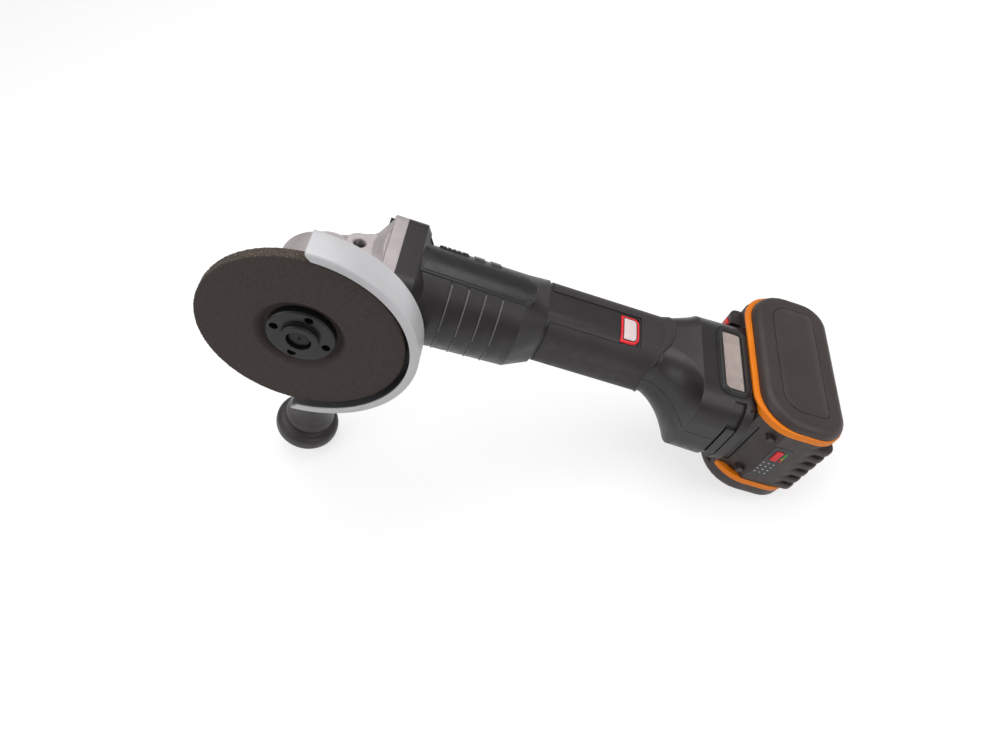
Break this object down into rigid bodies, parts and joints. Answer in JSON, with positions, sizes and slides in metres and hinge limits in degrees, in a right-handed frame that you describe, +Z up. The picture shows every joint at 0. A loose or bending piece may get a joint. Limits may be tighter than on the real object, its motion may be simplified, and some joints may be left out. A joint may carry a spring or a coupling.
{
  "type": "cordless angle grinder",
  "caption": "Cordless angle grinder with a cast gear head, half-round disc guard, side handle, slide switch, barrel grip and a slide-on battery pack.",
  "frame": {"origin": "centre of the lock nut's face, on the spindle axis", "axes": "-Y out of the disc along the spindle axis, +Z up as the tool lies on its side on the handle knob and the battery's flank, +X along the ground from the disc to the battery"},
  "size_m": [0.3829, 0.1198, 0.229],
  "materials": {
    "ground_steel": "ground",
    "gear_steel": "hardened",
    "plated_steel": "zinc plated",
    "abrasive": "resin-bonded grit",
    "black_steel": "black oxide",
    "cast_head": "die cast, satin",
    "bearing_steel": "polished",
    "guard_paint": "satin",
    "laminations": "lacquered stack",
    "inner_plastic": "moulded",
    "housing_plastic": "fine grain",
    "panel_plastic": "smooth",
    "black_plastic": "smooth",
    "soft_rubber": "fine texture",
    "red_plastic": "semi gloss",
    "mesh_steel": "woven",
    "circuit_board": "solder mask",
    "terminal_brass": "moulded with contacts",
    "battery_plastic": "fine grain",
    "orange_plastic": "satin",
    "cell_cans": "wrapped",
    "gauge_plastic": "gloss",
    "handle_rubber": "fine grain"
  },
  "bodies": {
    "tool": {"gear_housing": "cast_head", "gear_housing_screws": "black_steel", "bearing_retainer": "cast_head", "retainer_screws": "plated_steel", "spindle_bearing": "bearing_steel", "needle_bearing": "bearing_steel", "stator": "laminations", "motor_front_bearing": "bearing_steel", "motor_rear_bearing": "bearing_steel", "motor_housing": "housing_plastic", "side_panels": "panel_plastic", "switch_module": "inner_plastic", "grip_shell_left": "housing_plastic", "grip_shell_right": "housing_plastic", "shell_screws": "black_steel", "soft_grip": "soft_rubber", "side_badge": "red_plastic", "filter_frames": "black_plastic", "filter_meshes": "mesh_steel", "control_board": "circuit_board", "battery_rails": "black_plastic", "terminal_block": "terminal_brass", "handle_grip": "handle_rubber", "handle_stud": "plated_steel"},
    "spindle": {"spindle": "ground_steel", "crown_gear": "gear_steel", "inner_flange": "plated_steel", "grinding_disc": "abrasive", "lock_nut": "black_steel"},
    "rotor": {"bevel_pinion": "gear_steel", "motor_shaft": "ground_steel", "rotor_core": "laminations", "cooling_fan": "inner_plastic"},
    "guard": {"guard_shell": "guard_paint", "guard_clamp": "plated_steel", "guard_clamp_screw": "plated_steel"},
    "spindle_lock": {"spindle_lock_button": "black_plastic"},
    "switch": {"switch_slider": "black_plastic", "switch_rod": "inner_plastic"},
    "battery": {"battery_case": "battery_plastic", "battery_cap_left": "battery_plastic", "battery_cap_right": "battery_plastic", "battery_bands": "orange_plastic", "battery_cells": "cell_cans", "gauge_panel": "gauge_plastic"},
    "gauge_button": {"gauge_button": "gauge_plastic"},
    "release_button": {"release_button": "red_plastic"}
  },
  "joints": [
    {"name": "spindle_spin", "type": "hinge", "parent": "tool", "child": "spindle", "pos_m": [0, 0, 0], "axis": [0, -1, 0], "continuous": true},
    {"name": "motor_spin", "type": "hinge", "parent": "tool", "child": "rotor", "pos_m": [0, 0.059, 0], "axis": [0.9011, 0, -0.4337], "continuous": true},
    {"name": "guard_turn", "type": "hinge", "parent": "tool", "child": "guard", "pos_m": [0, 0, 0], "axis": [0, -1, 0], "range_deg": [-90, 90]},
    {"name": "spindle_lock_press", "type": "slide", "parent": "tool", "child": "spindle_lock", "axis": [0, -1, 0], "range_m": [0, 0.0027], "stiffness_N_per_m": 600, "springref_m": -0.002},
    {"name": "switch_slide", "type": "slide", "parent": "tool", "child": "switch", "axis": [-0.9011, 0, 0.4337], "range_m": [0, 0.006]},
    {"name": "battery_slide", "type": "slide", "parent": "tool", "child": "battery", "axis": [0, 1, 0], "range_m": [0, 0.077]},
    {"name": "gauge_press", "type": "slide", "parent": "battery", "child": "gauge_button", "axis": [0, 1, 0], "range_m": [0, 0.0008], "stiffness_N_per_m": 400, "springref_m": -0.001},
    {"name": "release_press", "type": "slide", "parent": "battery", "child": "release_button", "axis": [0.9011, 0, -0.4337], "range_m": [0, 0.0024], "stiffness_N_per_m": 400, "springref_m": -0.002}
  ],
  "couplings": [
    {"joint": "motor_spin", "follows": "spindle_spin", "ratio": -3}
  ]
}
